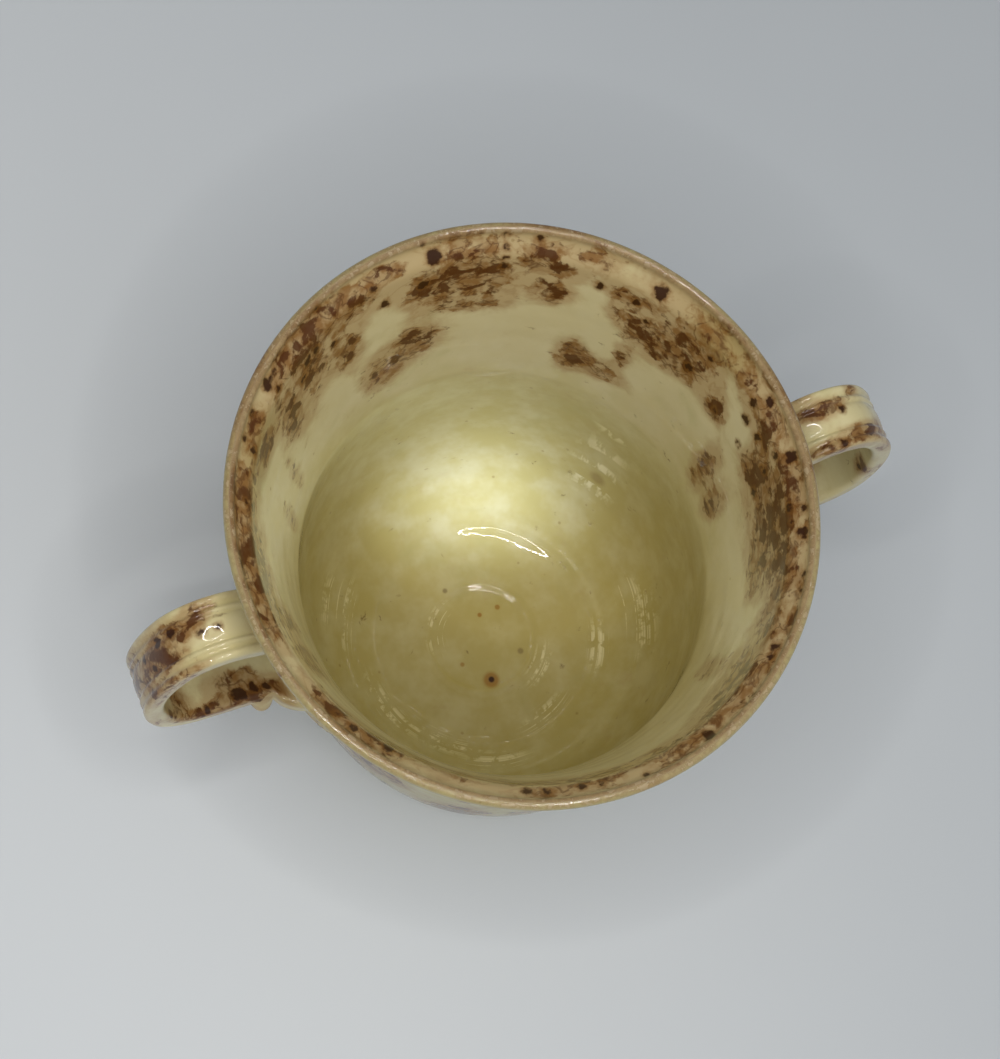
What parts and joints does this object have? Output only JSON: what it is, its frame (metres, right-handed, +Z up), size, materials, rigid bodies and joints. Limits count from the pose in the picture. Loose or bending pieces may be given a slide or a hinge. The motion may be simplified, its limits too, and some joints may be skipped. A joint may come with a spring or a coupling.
{
  "type": "loving cup",
  "caption": "Wide drinking cup with opposed reeded strap handles, flared neck and turned foot, in glazed cream earthenware with sponged brown mottling.",
  "frame": {"origin": "on the table, midway between the outer faces of the two handles; the bowl's axis stands 3 mm toward -X", "axes": "+Z up along the bowl's axis, X through both handles"},
  "size_m": [0.1732, 0.12, 0.122],
  "materials": {
    "glazed_earthenware": "glossy clear lead glaze over cream earthenware, mottled with sponged brown"
  },
  "bodies": {
    "root": {"loving_cup": "glazed_earthenware"}
  },
  "joints": []
}
